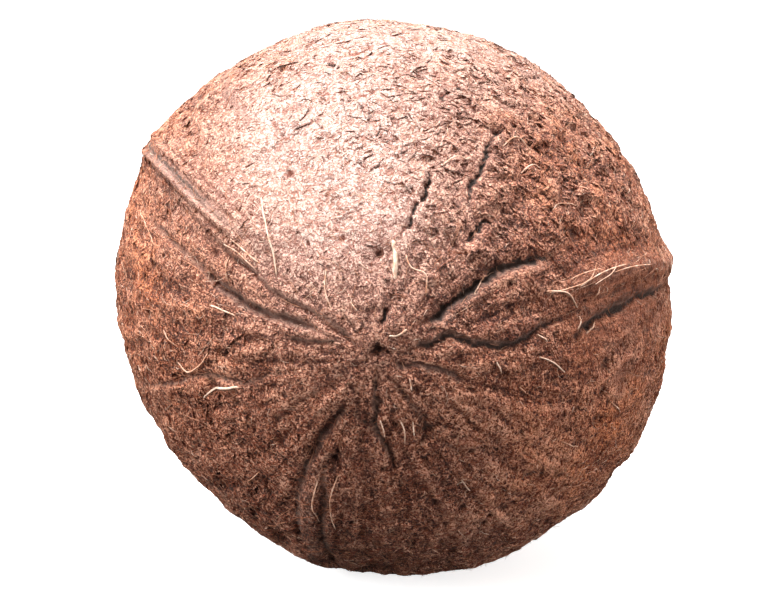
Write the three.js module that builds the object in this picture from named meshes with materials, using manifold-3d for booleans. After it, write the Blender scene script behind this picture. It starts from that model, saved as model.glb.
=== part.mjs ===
// A whole coconut with its husk pulled off, lying on its side. Millimetres, +Z up.
//
// The nut's long axis runs along Y: the apex, where all the furrows meet, points to -Y, and the stem
// end with its three eyes points to +Y. The origin is under the middle of the nut, on the surface
// that it lies on.
//
// The nut grew in one piece, so it is one mesh: a slightly oval egg shape, raised along its three
// seams, sunk along its furrows and at its eyes, and worn flat where it lies.
//
// A place on the nut is given by two angles in degrees, as on a globe whose north pole is the apex:
// theta is the angle down from the apex, and phi goes round the axis from +X towards +Z.
import * as THREE from "three";
import { mergeVertices } from "three/addons/utils/BufferGeometryUtils.js";
import Module from "manifold-3d";

// Driving dimensions
const HALF_WIDTH = 58; // mean radius round the waist
const APEX_HALF_LENGTH = 62; // waist to apex
const STEM_HALF_LENGTH = 60; // waist to stem end
const OVALNESS = 0.026; // share by which the waist is wider along OVAL_PHI and narrower across it
const OVAL_PHI = 135;
const AXIS_HEIGHT = 56.9; // the long axis over the surface, which sets the size of the flat spot
const APEX_CROWN = { height: 1.2, theta: 14 }; // the apex is drawn out a little
const FACET_DETAIL = 20; // each edge of the starting icosahedron is cut into this many pieces and one

// A seam or furrow: its height over the shell round it, its half width, and the places it runs through.
const strand = (height, halfWidth, places) => ({ height, halfWidth, places });

// The three seams of the shell: low rounded ridges from near the apex to the stem end.
const SEAMS = {
  right: strand(1.6, 3.6, [[32, 16], [48, 15], [66, 12], [88, 8], [125, 11], [168, 18]]),
  left: strand(1.8, 4.0, [[26, 140], [42, 142], [60, 144], [88, 147], [125, 146], [168, 140]]),
  lower: strand(0.9, 3.6, [[22, 242], [34, 247], [50, 252], [90, 256], [125, 257], [168, 260]]),
};

// The furrows that the husk's strands pressed into the shell.
const FURROWS = {
  upper_right: strand(-1.3, 2.6, [[8, 29], [17, 33], [26, 33], [34, 29], [42, 26]]),
  middle_right: strand(-1.1, 2.4, [[3, 5], [11, 11], [19, 3], [27, 3], [38, 9]]),
  far_right: strand(-1.1, 2.6, [[36, 0], [43, 3], [58, 6], [74, 5], [100, 3]]),
  upper_left: strand(-0.9, 2.4, [[4, 155], [12, 146], [22, 151], [36, 150], [52, 149]]),
  middle_left: strand(-1.2, 2.6, [[6, 157], [14, 159], [26, 163], [40, 158], [60, 154], [84, 152]]),
  lower_left: strand(-0.8, 2.4, [[11, 192], [20, 194], [28, 195], [39, 192], [56, 195], [80, 196]]),
  lower: strand(-1.3, 2.6, [[9, 250], [14, 240], [26, 238], [38, 243], [54, 248], [80, 250]]),
  lower_inner: strand(-0.9, 2.6, [[20, 247], [30, 252], [46, 258], [66, 263], [90, 266]]),
  straight_down: strand(-0.8, 2.4, [[2, 270], [8, 271], [16, 275], [28, 282]]),
  top: strand(-0.7, 2.8, [[52, 81], [66, 84], [90, 87], [120, 84]]),
  top_left: strand(-0.5, 2.8, [[50, 122], [66, 126], [90, 125], [125, 120]]),
  stem_left: strand(-1.0, 2.6, [[168, 165], [145, 170], [120, 174], [98, 172]]),
  stem_right: strand(-1.0, 2.6, [[168, 340], [145, 336], [120, 332], [98, 335]]),
  stem_top: strand(-0.8, 2.6, [[166, 55], [140, 52], [112, 50]]),
  stem_under: strand(-0.8, 2.6, [[166, 292], [140, 297], [112, 300]]),
  stem_side: strand(-0.9, 2.6, [[164, 215], [140, 217], [110, 214]]),
};

// The three eyes at the stem end, one between each pair of seams.
const EYE_THETA = 166;
const EYE_PHIS = [78, 200, 319];
const EYE_RADIUS = 5;
const EYE_DEPTH = 1.8;

// Broad lumps, as a sum of long waves that cross the nut in different directions.
const LUMP_COUNT = 7;
const LUMP_HEIGHT = 0.16;
const LUMP_PHASE = 3.9;
const LUMP_FIRST_FREQUENCY = 5;
const LUMP_FREQUENCY_STEP = 1.3;

const GOLDEN_ANGLE = Math.PI * (3 - Math.sqrt(5));
const ROUTE_STEPS = 24; // straight pieces that stand for each seam and furrow
const { degToRad } = THREE.MathUtils;

// The unit vector from the nut's centre to a place given in degrees.
function directionTo(theta, phi) {
  const t = degToRad(theta);
  const p = degToRad(phi);
  return new THREE.Vector3(Math.sin(t) * Math.cos(p), -Math.cos(t), Math.sin(t) * Math.sin(p));
}

// A seam or furrow as short straight pieces between points on the unit sphere.
function routeThrough(places) {
  const curve = new THREE.CatmullRomCurve3(places.map(([theta, phi]) => directionTo(theta, phi)));
  const points = curve.getPoints(ROUTE_STEPS).map((point) => point.normalize());
  return points.slice(1).map((end, i) => new THREE.Line3(points[i], end));
}

// How far a direction passes from a route, in millimetres over the surface, and the share of the
// route's length that lies before the nearest point.
function nearestOnRoute(route, direction) {
  const foot = new THREE.Vector3();
  let distance = Infinity;
  let along = 0;
  route.forEach((piece, i) => {
    const share = piece.closestPointToPointParameter(direction, true);
    const gap = piece.at(share, foot).distanceTo(direction) * HALF_WIDTH;
    if (gap < distance) {
      distance = gap;
      along = (i + share) / route.length;
    }
  });
  return { distance, along };
}

// A smooth hump, 1 at its middle and nearly 0 at twice its half width.
const hump = (distance, halfWidth) => Math.exp(-((distance / halfWidth) ** 2));

// Fades a seam or furrow in and out over the first and last sixth of its length.
const fade = (along) => Math.min(1, 6 * along, 6 * (1 - along));

const strandRoutes = [...Object.values(SEAMS), ...Object.values(FURROWS)].map((line) => ({
  ...line,
  route: routeThrough(line.places),
}));
const eyeDirections = EYE_PHIS.map((phi) => directionTo(EYE_THETA, phi));

// The height that the seams and furrows together add at a direction.
function strandRelief(direction) {
  return strandRoutes.reduce((sum, { height, halfWidth, route }) => {
    const { distance, along } = nearestOnRoute(route, direction);
    return sum + height * hump(distance, halfWidth) * fade(along);
  }, 0);
}

// Broad lumps: wave i runs along its own direction, spread evenly by the golden angle.
function lumps(direction) {
  let sum = 0;
  for (let i = 0; i < LUMP_COUNT; i++) {
    const y = 1 - (2 * (i + 0.5)) / LUMP_COUNT;
    const ring = Math.sqrt(1 - y * y);
    const along = new THREE.Vector3(ring * Math.cos(GOLDEN_ANGLE * i), y, ring * Math.sin(GOLDEN_ANGLE * i));
    const frequency = LUMP_FIRST_FREQUENCY + LUMP_FREQUENCY_STEP * i;
    sum += LUMP_HEIGHT * Math.sin(frequency * along.dot(direction) + LUMP_PHASE + i);
  }
  return sum;
}

// The smooth oval egg under the relief.
function eggRadius(theta, phi) {
  const width = HALF_WIDTH * (1 + OVALNESS * Math.cos(2 * (phi - degToRad(OVAL_PHI))));
  const length = theta < Math.PI / 2 ? APEX_HALF_LENGTH : STEM_HALF_LENGTH;
  const egg = 1 / Math.hypot(Math.sin(theta) / width, Math.cos(theta) / length);
  return egg + APEX_CROWN.height * hump(theta, degToRad(APEX_CROWN.theta));
}

// The distance from the nut's centre to its surface.
function nutRadius(direction) {
  const theta = Math.acos(THREE.MathUtils.clamp(-direction.y, -1, 1));
  const phi = Math.atan2(direction.z, direction.x);
  const eyes = eyeDirections.reduce(
    (sum, eye) => sum + EYE_DEPTH * hump(eye.distanceTo(direction) * HALF_WIDTH, EYE_RADIUS),
    0,
  );
  return eggRadius(theta, phi) + lumps(direction) + strandRelief(direction) - eyes;
}

// The nut before it is worn flat, with its centre at the origin.
function nutGeometry() {
  const sphere = new THREE.IcosahedronGeometry(1, FACET_DETAIL);
  sphere.deleteAttribute("normal");
  sphere.deleteAttribute("uv");
  const geometry = mergeVertices(sphere, 1e-5);
  const position = geometry.attributes.position;
  const point = new THREE.Vector3();
  for (let i = 0; i < position.count; i++) {
    point.fromBufferAttribute(position, i).normalize();
    point.multiplyScalar(nutRadius(point));
    position.setXYZ(i, point.x, point.y, point.z);
  }
  return geometry;
}

const wasm = await Module();
wasm.setup();

// A closed three.js geometry as a solid that can be cut.
function solidOf(geometry) {
  const bare = geometry.clone();
  bare.deleteAttribute("normal");
  bare.deleteAttribute("uv");
  const merged = mergeVertices(bare, 1e-4);
  return new wasm.Manifold(
    new wasm.Mesh({
      numProp: 3,
      vertProperties: new Float32Array(merged.attributes.position.array),
      triVerts: new Uint32Array(merged.index.array),
    }),
  );
}

// A cut solid back as a three.js geometry.
function geometryOf(solid) {
  const mesh = solid.getMesh();
  return new THREE.BufferGeometry()
    .setAttribute("position", new THREE.BufferAttribute(mesh.vertProperties, 3))
    .setIndex(new THREE.BufferAttribute(mesh.triVerts, 1));
}

// Cuts away what lies below the surface that the nut lies on, which leaves the flat spot.
function wornFlat(geometry) {
  const side = 4 * HALF_WIDTH;
  const below = new THREE.BoxGeometry(side, side, side).translate(0, 0, -AXIS_HEIGHT - side / 2);
  return geometryOf(solidOf(geometry).subtract(solidOf(below)));
}

// Moves the nut so that the origin is under its middle, on the surface.
function setDown(geometry) {
  geometry.computeBoundingBox();
  const middle = geometry.boundingBox.getCenter(new THREE.Vector3());
  return geometry.translate(-middle.x, -middle.y, AXIS_HEIGHT);
}

function makeCoconut() {
  const geometry = setDown(wornFlat(nutGeometry()));
  geometry.computeVertexNormals();
  const shell = new THREE.MeshStandardMaterial({ color: 0x8a5b45, roughness: 0.9, metalness: 0 });
  const mesh = new THREE.Mesh(geometry, shell);
  mesh.name = "coconut";
  return mesh;
}

const coconut = new THREE.Group();
coconut.add(makeCoconut());

export default coconut;
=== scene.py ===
# %% [markdown]
# # A whole coconut with its husk pulled off
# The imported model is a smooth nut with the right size, seams and furrows. This lesson gives it its real
# surface: a hard brown shell, coated with a mat of coir fibre that was torn when the husk came off. It
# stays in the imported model's frame, so nothing is fitted afterwards.

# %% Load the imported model
import math

import bpy
import numpy as np
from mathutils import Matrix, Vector, noise
from mathutils.bvhtree import BVHTree


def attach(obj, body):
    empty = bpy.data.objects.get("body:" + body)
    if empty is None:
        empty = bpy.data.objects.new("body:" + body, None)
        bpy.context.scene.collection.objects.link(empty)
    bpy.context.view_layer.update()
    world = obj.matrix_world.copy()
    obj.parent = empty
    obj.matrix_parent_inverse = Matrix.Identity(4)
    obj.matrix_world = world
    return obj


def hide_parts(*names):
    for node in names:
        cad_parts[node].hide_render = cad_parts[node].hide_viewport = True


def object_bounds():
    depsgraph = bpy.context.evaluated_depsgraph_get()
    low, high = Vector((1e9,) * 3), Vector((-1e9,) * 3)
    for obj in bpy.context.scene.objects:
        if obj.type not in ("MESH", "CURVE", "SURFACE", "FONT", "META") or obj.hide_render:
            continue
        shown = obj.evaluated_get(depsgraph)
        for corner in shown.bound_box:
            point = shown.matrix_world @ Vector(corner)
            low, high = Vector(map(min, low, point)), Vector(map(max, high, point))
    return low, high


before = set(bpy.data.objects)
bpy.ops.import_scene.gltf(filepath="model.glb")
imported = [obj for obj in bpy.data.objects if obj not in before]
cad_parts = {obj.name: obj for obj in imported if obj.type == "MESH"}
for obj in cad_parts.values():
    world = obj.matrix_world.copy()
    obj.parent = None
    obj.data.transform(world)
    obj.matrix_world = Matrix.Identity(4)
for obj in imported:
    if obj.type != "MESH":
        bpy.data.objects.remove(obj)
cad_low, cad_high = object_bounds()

MM = 0.001  # metres in a millimetre
print("packed nut, mm:", [round(side / MM, 1) for side in cad_high - cad_low])

# %% [markdown]
# ## How a place on the nut is named
# A nut is almost a ball, so a place on it is named as on a globe. The north pole is the apex, where all
# the furrows meet, and it points along -Y. Theta is the angle down from the apex and phi goes round the
# axis from +X towards +Z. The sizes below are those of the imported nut, in millimetres.

# %% The nut's driving sizes, in millimetres and degrees
HALF_WIDTH = 58.0
APEX_HALF_LENGTH = 62.0
STEM_HALF_LENGTH = 60.0
OVALNESS = 0.026
OVAL_PHI = 135
AXIS_HEIGHT = 56.9
APEX_CROWN_HEIGHT = 1.2
APEX_CROWN_THETA = 14
LUMP_COUNT = 7
LUMP_HEIGHT = 0.16
LUMP_PHASE = 3.9
LUMP_FIRST_FREQUENCY = 5
LUMP_FREQUENCY_STEP = 1.3
GOLDEN_ANGLE = math.pi * (3 - math.sqrt(5))


def direction_to(theta, phi):
    """The unit vector from the nut's middle to a place given in degrees."""
    t, p = math.radians(theta), math.radians(phi)
    return np.array([math.sin(t) * math.cos(p), -math.cos(t), math.sin(t) * math.sin(p)])


def unit(vectors):
    return vectors / np.linalg.norm(vectors, axis=-1, keepdims=True)


# %% [markdown]
# ## The starting mesh
# A globe of longitudes and latitudes would crowd its points at the apex. A cube that is subdivided and
# then blown up into a ball has no poles: its points are nearly the same distance apart everywhere. They
# are then drawn a little towards the apex, where the finest furrows are.

# %% A cube, subdivided and blown up into a ball
GRID_LEVELS = 7  # each level halves every square
APEX_PULL = 0.28  # how far the points are drawn towards the apex

bpy.ops.object.select_all(action="DESELECT")
bpy.ops.mesh.primitive_cube_add(size=2)
shell = bpy.context.object
shell.name = "coconut_shell"
grid = shell.modifiers.new("even_grid", "SUBSURF")
grid.subdivision_type = "SIMPLE"
grid.levels = GRID_LEVELS
grid.render_levels = GRID_LEVELS
bpy.ops.object.modifier_apply(modifier=grid.name)
bpy.ops.object.shade_smooth()


def points_of(mesh):
    """The mesh's points as an array of rows."""
    flat = np.empty(len(mesh.vertices) * 3, np.float32)
    mesh.vertices.foreach_get("co", flat)
    return flat.reshape(-1, 3).astype(float)


def put_points(mesh, points):
    mesh.vertices.foreach_set("co", points.astype(np.float32).ravel())
    mesh.update()


evened = np.tan(points_of(shell.data) * math.pi / 4)  # so that the cube's corners aren't crowded
ball = unit(evened)
theta = np.arccos(np.clip(-ball[:, 1], -1, 1))
phi = np.arctan2(ball[:, 2], ball[:, 0])
theta = theta - APEX_PULL * np.sin(theta)
directions = np.stack([np.sin(theta) * np.cos(phi), -np.cos(theta), np.sin(theta) * np.sin(phi)], axis=1)
print("points:", len(directions), "squares:", len(shell.data.polygons))

# %% [markdown]
# ## Seams and furrows as routes
# While the nut grew, strands of the husk pressed furrows into the shell, and its three carpels left three
# seams. Each one is a route: a smooth curve over the ball through a few places. It gives how far each
# point of the mesh lies to its left or right and along it, and every profile is a formula of those two.

# %% Routes over the ball
ROUTE_STEPS = 8  # straight pieces between two places
ROUTE_REACH = 0.2  # radians to each side within which a route matters


def route_through(places):
    """Unit vectors along a smooth curve through places on the nut."""
    stops = [direction_to(*place) for place in places]
    stops = [2 * stops[0] - stops[1]] + stops + [2 * stops[-1] - stops[-2]]
    route = []
    for a, b, c, d in zip(stops, stops[1:], stops[2:], stops[3:]):
        for u in np.linspace(0, 1, ROUTE_STEPS, endpoint=False):
            bend = (2 * a - 5 * b + 4 * c - d) * u**2 + (3 * b - a - 3 * c + d) * u**3
            route.append(b + 0.5 * ((c - a) * u + bend))
    route.append(stops[-2])
    return unit(np.array(route))


def beside(route, spots):
    """For each spot, the millimetres to the left (+) or right (-) of a route, and the share along it."""
    across = np.full(len(spots), 1000.0)
    along = np.zeros(len(spots))
    near = np.flatnonzero((spots @ route.T).max(axis=1) > math.cos(ROUTE_REACH))
    close = spots[near]
    gap = np.full(len(near), 1000.0)
    side = np.ones(len(near))
    share = np.zeros(len(near))
    for i, (start, end) in enumerate(zip(route, route[1:])):
        piece = end - start
        part = np.clip((close - start) @ piece / (piece @ piece), 0, 1)
        distance = np.linalg.norm(close - start - part[:, None] * piece, axis=1)
        nearer = distance < gap
        gap = np.where(nearer, distance, gap)
        share = np.where(nearer, (i + part) / (len(route) - 1), share)
        side = np.where(nearer, np.sign(close @ np.cross(start, end)), side)
    across[near] = gap * side * HALF_WIDTH
    along[near] = share
    return across, along


def hump(distance, half_width):
    """A smooth hump, 1 at its middle and nearly 0 at twice its half width."""
    return np.exp(-((distance / half_width) ** 2))


def fade(along, share=1 / 6):
    """Rises over the first share of a route and falls over its last."""
    return np.clip(np.minimum(along, 1 - along) / share, 0, 1)


# %% [markdown]
# ## The nut's form
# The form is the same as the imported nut's: an egg that is slightly oval across, with broad lumps.

# %% The egg and its broad lumps
def egg_radius(theta, phi):
    width = HALF_WIDTH * (1 + OVALNESS * np.cos(2 * (phi - math.radians(OVAL_PHI))))
    length = np.where(theta < math.pi / 2, APEX_HALF_LENGTH, STEM_HALF_LENGTH)
    egg = 1 / np.hypot(np.sin(theta) / width, np.cos(theta) / length)
    return egg + APEX_CROWN_HEIGHT * hump(theta, math.radians(APEX_CROWN_THETA))


def lumps(spots):
    """Long waves that cross the nut in directions spread evenly by the golden angle."""
    total = np.zeros(len(spots))
    for i in range(LUMP_COUNT):
        y = 1 - 2 * (i + 0.5) / LUMP_COUNT
        ring = math.sqrt(1 - y * y)
        way = np.array([ring * math.cos(GOLDEN_ANGLE * i), y, ring * math.sin(GOLDEN_ANGLE * i)])
        frequency = LUMP_FIRST_FREQUENCY + LUMP_FREQUENCY_STEP * i
        total += LUMP_HEIGHT * np.sin(frequency * (spots @ way) + LUMP_PHASE + i)
    return total


form = egg_radius(theta, phi) + lumps(directions)
print("form radius, mm:", form.min().round(1), "to", form.max().round(1))

# %% [markdown]
# ## The three seams
# The right and the lower seam are single low crests, and the right one still has strands on it. The left
# seam is the clearest: two smooth crests with a groove between them that is painted dark as shade, on a
# broad swelling, with fine ridges beside them like pleats. Where a seam is bare, the shell is smooth.

# %% The right and the lower seam
SINGLE_SEAMS = [  # the crest's height and half width, how bare it is and how wide, and the places
    (1.5, 2.6, 0.45, 1.3, [(32, 16), (48, 15), (66, 12), (88, 8), (125, 11), (168, 18)]),
    (0.9, 3.2, 0.35, 2.0, [(22, 242), (34, 247), (50, 252), (90, 256), (125, 257), (168, 260)]),
]
seam_relief = np.zeros(len(directions))
seam_band = np.zeros(len(directions))  # 1 where the shell is bare and smooth
for height, half_width, bareness, bare_half_width, places in SINGLE_SEAMS:
    across, along = beside(route_through(places), directions)
    seam_relief += height * hump(across, half_width) * fade(along)
    seam_band += bareness * hump(across, bare_half_width) * fade(along)

# %% The left seam
LEFT_SEAM = [(26, 140), (42, 142), (60, 144), (88, 147), (125, 146), (168, 140)]
LEFT_CRESTS = [(0.7, 1.5, 1.0), (0.6, -1.4, 0.9)]  # height, millimetres to the left, and half width
PLEAT_HEIGHT = 0.36
PLEAT_WIDTH = 1.7  # from one pleat to the next
NARROWEST = 0.45  # the band's share of its full width near the apex

seam_across, along = beside(route_through(LEFT_SEAM), directions)
spread = seam_across / np.clip(NARROWEST + 2.2 * along, NARROWEST, 1.0)
crests = sum(height * hump(spread - left, half_width) for height, left, half_width in LEFT_CRESTS)
pleats = np.cos(2 * math.pi * seam_across / PLEAT_WIDTH) * hump(seam_across, 4.0)
swelling = hump(seam_across, 4.5)
seam_relief += (crests + PLEAT_HEIGHT * pleats + swelling) * fade(along)
seam_band += 0.8 * hump(spread - 0.7, 1.35) * fade(along)
seam_shade_line = 0.7 * hump(spread - 0.1, 0.5) * fade(along, 0.3)  # the groove, painted dark as shade
print("highest seam, mm:", seam_relief.max().round(2))

# %% [markdown]
# ## Furrows
# A furrow is a narrow, smooth-walled groove in the middle of a shallow valley, with its bottom painted
# dark as shade, and most have one lip that stands a little proud. Each entry gives the groove's depth and
# half width in millimetres, the height of the lip (its sign says which side it is on), and the places that
# the furrow runs through.

# %% Furrows
FURROWS = [
    (1.4, 0.65, -0.4, [(9, 29), (12, 32), (16, 33), (23, 34), (27, 33), (31, 31), (34, 29), (39, 25)]),
    (0.9, 0.6, 0.25,
     [(3, 358), (7, 7), (11, 11), (13, 13), (15, 8), (19, 3), (22, 1), (26, 2), (33, 7), (40, 9)]),
    (0.9, 0.7, 0.25, [(36, 358), (41, 2), (44, 4), (49, 5), (55, 6), (63, 6), (73, 5), (100, 3)]),
    (0.42, 0.5, -0.15,
     [(3, 167), (5, 153), (11, 147), (16, 150), (20, 152), (27, 150), (33, 150), (44, 149)]),
    (0.4, 0.7, 0.15,
     [(6, 157), (11, 157), (16, 161), (23, 163), (32, 161), (41, 157), (56, 156), (84, 153)]),
    (0.55, 0.65, 0.0, [(11, 157), (16, 161), (23, 163), (30, 161), (36, 159)]),
    (0.45, 0.45, 0.0, [(5, 163), (8, 168), (12, 172), (18, 174)]),
    (0.5, 0.4, 0.1,
     [(11, 192), (20, 194), (26, 196), (33, 192), (39, 192), (46, 194), (56, 195), (80, 196)]),
    (0.45, 0.75, 0.2,
     [(7, 254), (12, 241), (16, 238), (21, 238), (32, 241), (38, 244), (46, 247), (56, 252)]),
    (0.4, 0.7, 0.15, [(20, 245), (26, 246), (32, 250), (39, 252), (50, 255), (80, 262)]),
    (0.6, 0.5, 0.0, [(2, 269), (6, 272), (9, 271), (14, 270), (17, 275), (24, 279)]),
    (0.35, 0.45, 0.0, [(8, 248), (12, 256), (13, 263), (16, 269)]),
    (0.5, 0.5, 0.0, [(3, 335), (5, 341), (8, 347), (13, 345), (18, 340)]),
    (0.3, 0.5, 0.0, [(4, 215), (10, 214), (18, 216), (26, 219)]),
    (0.3, 0.5, 0.0, [(4, 300), (10, 306), (18, 305), (28, 309)]),
    (0.2, 1.2, 0.0, [(50, 82), (63, 83), (75, 85), (90, 87), (120, 84)]),
    (0.2, 1.2, 0.0, [(50, 122), (66, 126), (90, 125), (125, 120)]),
    (0.55, 0.9, 0.25, [(168, 165), (145, 170), (120, 174), (98, 172)]),
    (0.55, 0.9, -0.25, [(168, 340), (145, 336), (120, 332), (98, 335)]),
    (0.5, 0.8, 0.2, [(166, 55), (140, 52), (112, 50)]),
    (0.5, 0.8, -0.2, [(166, 292), (140, 297), (112, 300)]),
    (0.5, 0.9, 0.2, [(164, 215), (140, 217), (110, 214)]),
]
VALLEY_SHARE = 0.4  # of the groove's depth
VALLEY_WIDTH, WALL_WIDTH = 2.6, 1.3  # of the groove's half width
WOBBLE_SIZE = 2.4  # millimetres
BARE_LIP = -0.3  # a lip that stands higher than this on the right is rubbed bare
mat_points = directions * form[:, None]  # millimetres from the nut's middle
wobble = np.array([noise.fractal(Vector(p) / WOBBLE_SIZE, 0.7, 2.0, 3) for p in mat_points.tolist()])
furrow_relief = np.zeros(len(directions))
furrow_band = np.zeros(len(directions))  # 1 on a furrow's smooth walls
furrow_shade_line = np.zeros(len(directions))  # 1 in its bottom, which is painted dark as shade
for depth, half_width, lip, places in FURROWS:
    across, along = beside(route_through(places), directions)
    across = across + (0.2 + 0.5 * min(1, depth)) * wobble
    ends = fade(along)
    lip_side = (1.9 * half_width + 0.4) * (1 if lip > 0 else -1)
    valley = VALLEY_SHARE * hump(across, VALLEY_WIDTH * half_width)
    furrow_relief -= depth * (hump(across, half_width) + valley) * ends
    furrow_relief += abs(lip) * hump(across - lip_side, WALL_WIDTH * half_width) * ends
    walls = hump(across - 0.3 * lip_side, WALL_WIDTH * half_width) * ends * min(1, 0.3 + depth)
    furrow_band = np.maximum(furrow_band, walls)
    if lip < BARE_LIP:
        seam_band += 0.5 * hump(across - lip_side, 0.4) * ends
    # the bottom's painted shade is darker the deeper the furrow
    darkness = np.clip(0.18 + 0.8 * np.clip(depth - 0.3, 0, 1) + 0.35 * wobble, 0, 1)
    furrow_shade_line = np.maximum(furrow_shade_line, hump(across, 0.75 * half_width) * ends * darkness)
print("deepest furrow, mm:", furrow_relief.min().round(2))

# %% [markdown]
# ## Cracks in the fibre mat
# The mat tore when the husk was pulled off. On one side of a crack the mat still stands, with a ragged
# edge, and on the other side it is gone. Each entry gives the height of the standing side (its sign
# says which side), and the places that the crack runs through.

# %% Cracks
CRACKS = [
    (0.9, [(56, 56), (54, 58), (51, 60), (46, 61), (40, 60), (36, 60), (32, 59), (29, 58)]),
    (0.6, [(37, 72), (34, 73), (30, 73), (27, 75), (24, 76), (22, 78), (19, 81)]),
    (0.4, [(9, 79), (7, 80), (5, 87)]),
    (0.5, [(33, 46), (30, 50), (27, 50), (24, 53)]),
    (0.4, [(60, 75), (57, 73), (54, 76), (51, 74)]),
    (0.4, [(64, 104), (61, 101), (58, 103)]),
    (-0.5, [(88, 60), (83, 57), (78, 60), (72, 57)]),
    (0.5, [(100, 105), (95, 108), (89, 106)]),
    (-0.5, [(130, 40), (124, 37), (117, 39), (111, 36)]),
    (0.5, [(140, 120), (133, 117), (127, 121), (119, 119)]),
    (-0.5, [(120, 220), (113, 224), (108, 221), (101, 225)]),
    (0.5, [(135, 320), (128, 316), (121, 319), (114, 316)]),
]
CRACK_DEPTH, CRACK_HALF_WIDTH = 1.1, 0.48
crack_relief = np.zeros(len(directions))
crack_line = np.zeros(len(directions))  # 1 in a crack, which the finish paints dark as shade
crack_zone = np.zeros(len(directions))  # 1 where a crack leaves no room for fibres
for standing, places in CRACKS:
    across, along = beside(route_through(places), directions)
    ragged = across + 0.8 * wobble
    ends = fade(along, 0.25)
    one_side = np.clip(ragged * np.sign(standing) / 0.5, 0, 1) * hump(across, 4.5)
    crack_relief += abs(standing) * one_side * ends
    crack_relief -= CRACK_DEPTH * hump(ragged, CRACK_HALF_WIDTH) * ends
    crack_line = np.maximum(crack_line, hump(ragged, 0.34) * ends)
    crack_zone = np.maximum(crack_zone, hump(ragged, 0.8) * ends)

# %% [markdown]
# ## Broad areas
# The mat isn't the same all over. Its top is painted pale, a painted highlight of the light above, its
# sides are a warmer brown, two places were bleached, and underneath it is darkened as painted shade.
# Beside the right seam the fibres lie combed side by side, and at the upper right the mat is flakiest.
# Each area is soft round patches: strength, reach and places.

# %% Broad areas
# The pale area is a painted highlight: the top is paler where the light above falls strongest.
PALE_HIGHLIGHT_AREA = [(1.0, 0.46, [(74, 94), (48, 108)]), (0.5, 0.3, [(28, 102)]), (0.4, 0.6, [(85, 60)])]
WARM_AREA = [(1.0, 0.55, [(70, 20), (75, 350), (80, 160), (55, 172), (55, 335)]), (0.4, 0.5, [(55, 50)])]
BLEACHED_AREA = [(1.0, 0.22, [(56, 346), (74, 355)]), (1.1, 0.25, [(41, 316)])]
COMBED_AREA = [(1.0, 0.16, [(45, 8), (54, 10), (64, 8)])]
FLAKY_AREA = [(1.0, 0.72, [(55, 64)]), (0.45, 0.6, [(72, 100)]), (0.5, 0.35, [(64, 36), (42, 210)])]
# The first two entries paint the shade underneath the nut; the others are darker patches of the mat.
DARK_AND_SHADE_AREA = [
    (1.0, 0.5, [(45, 265), (75, 255)]),
    (1.3, 0.3, [(64, 270)]),
    (0.9, 0.3, [(28, 6), (50, 0), (32, 345)]),
    (1.0, 0.2, [(56, 2), (38, 20)]),
    (0.45, 0.3, [(56, 132)]),
    (0.6, 0.3, [(32, 225)]),
]


def around(reach, places):
    """1 at each of the places, and falling off over that many radians."""
    patches = [hump(np.linalg.norm(directions - direction_to(*place), axis=1), reach) for place in places]
    return np.max(patches, axis=0)


def patches_of(area):
    """The patches of an area added up."""
    return sum(strength * around(reach, places) for strength, reach, places in area)


pale_highlight = np.clip(patches_of(PALE_HIGHLIGHT_AREA), 0, 1)
warm = np.clip(patches_of(WARM_AREA), 0, 1)
dark_and_shade = np.clip(patches_of(DARK_AND_SHADE_AREA), 0, 1)
bleached = patches_of(BLEACHED_AREA)
combed = patches_of(COMBED_AREA)
print("share that is pale:", pale_highlight.mean().round(2))

# %% [markdown]
# ## The torn mat
# Away from the smooth furrows the mat is rough in several ways. Flakes overlap like shingles, each one
# rising towards the apex and ending in a free edge. Between them the mat is grainy, with low ribs that
# run to the apex and small pits. A shingle is a cell of Voronoi noise with a tilt.

# %% Noise that becomes flakes and grain
TOWARDS_APEX = unit(np.array([0.0, -1.0, 0.0]) - directions * (-directions[:, 1:2]) + 1e-9)


def scattered(points, size, octaves=3, shift=0.0):
    """Fractal noise from about -1 to 1, with its largest grain of that size in millimetres."""
    move = Vector((shift, 2 * shift, 3 * shift))
    return np.array([noise.fractal(Vector(p) / size + move, 0.8, 2.0, octaves) for p in points.tolist()])


def shingles(points, size, tilt_from_apex, ragged):
    """Tilted cells of that size. Each rises across itself and drops at its edge, from -0.5 to 0.5."""
    heights = np.empty(len(points))
    for i, (p, up) in enumerate(zip(points.tolist(), TOWARDS_APEX.tolist())):
        at = Vector(p) / size
        at += noise.noise_vector(at * 1.3) * ragged + noise.noise_vector(at * 4.1) * ragged * 0.45
        cell = noise.voronoi(at)[1][0]
        turn = noise.noise_vector(cell * 7.3) * tilt_from_apex
        heights[i] = (at - cell).dot((Vector(up) + turn).normalized()) + 0.5 * noise.noise(cell * 5.7)
    return heights


# %% The torn mat's relief
LARGE_SIZE, LARGE_HEIGHT = 6.0, 0.85  # of a flake, in millimetres
SMALL_SIZE, SMALL_HEIGHT = 2.8, 0.50
GRAIN_SIZE, GRAIN_HEIGHT = 1.5, 0.20
SWELL_SIZE, SWELL_HEIGHT = 7.0, 0.35
PIT_SIZE, PIT_DEPTH = 3.2, 0.50
RIB_WIDTH, RIB_HEIGHT = 0.11, 0.60  # radians round the axis, and millimetres
STEM_END_THETA = 2.3  # radians, where the mat gets flaky again

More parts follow.
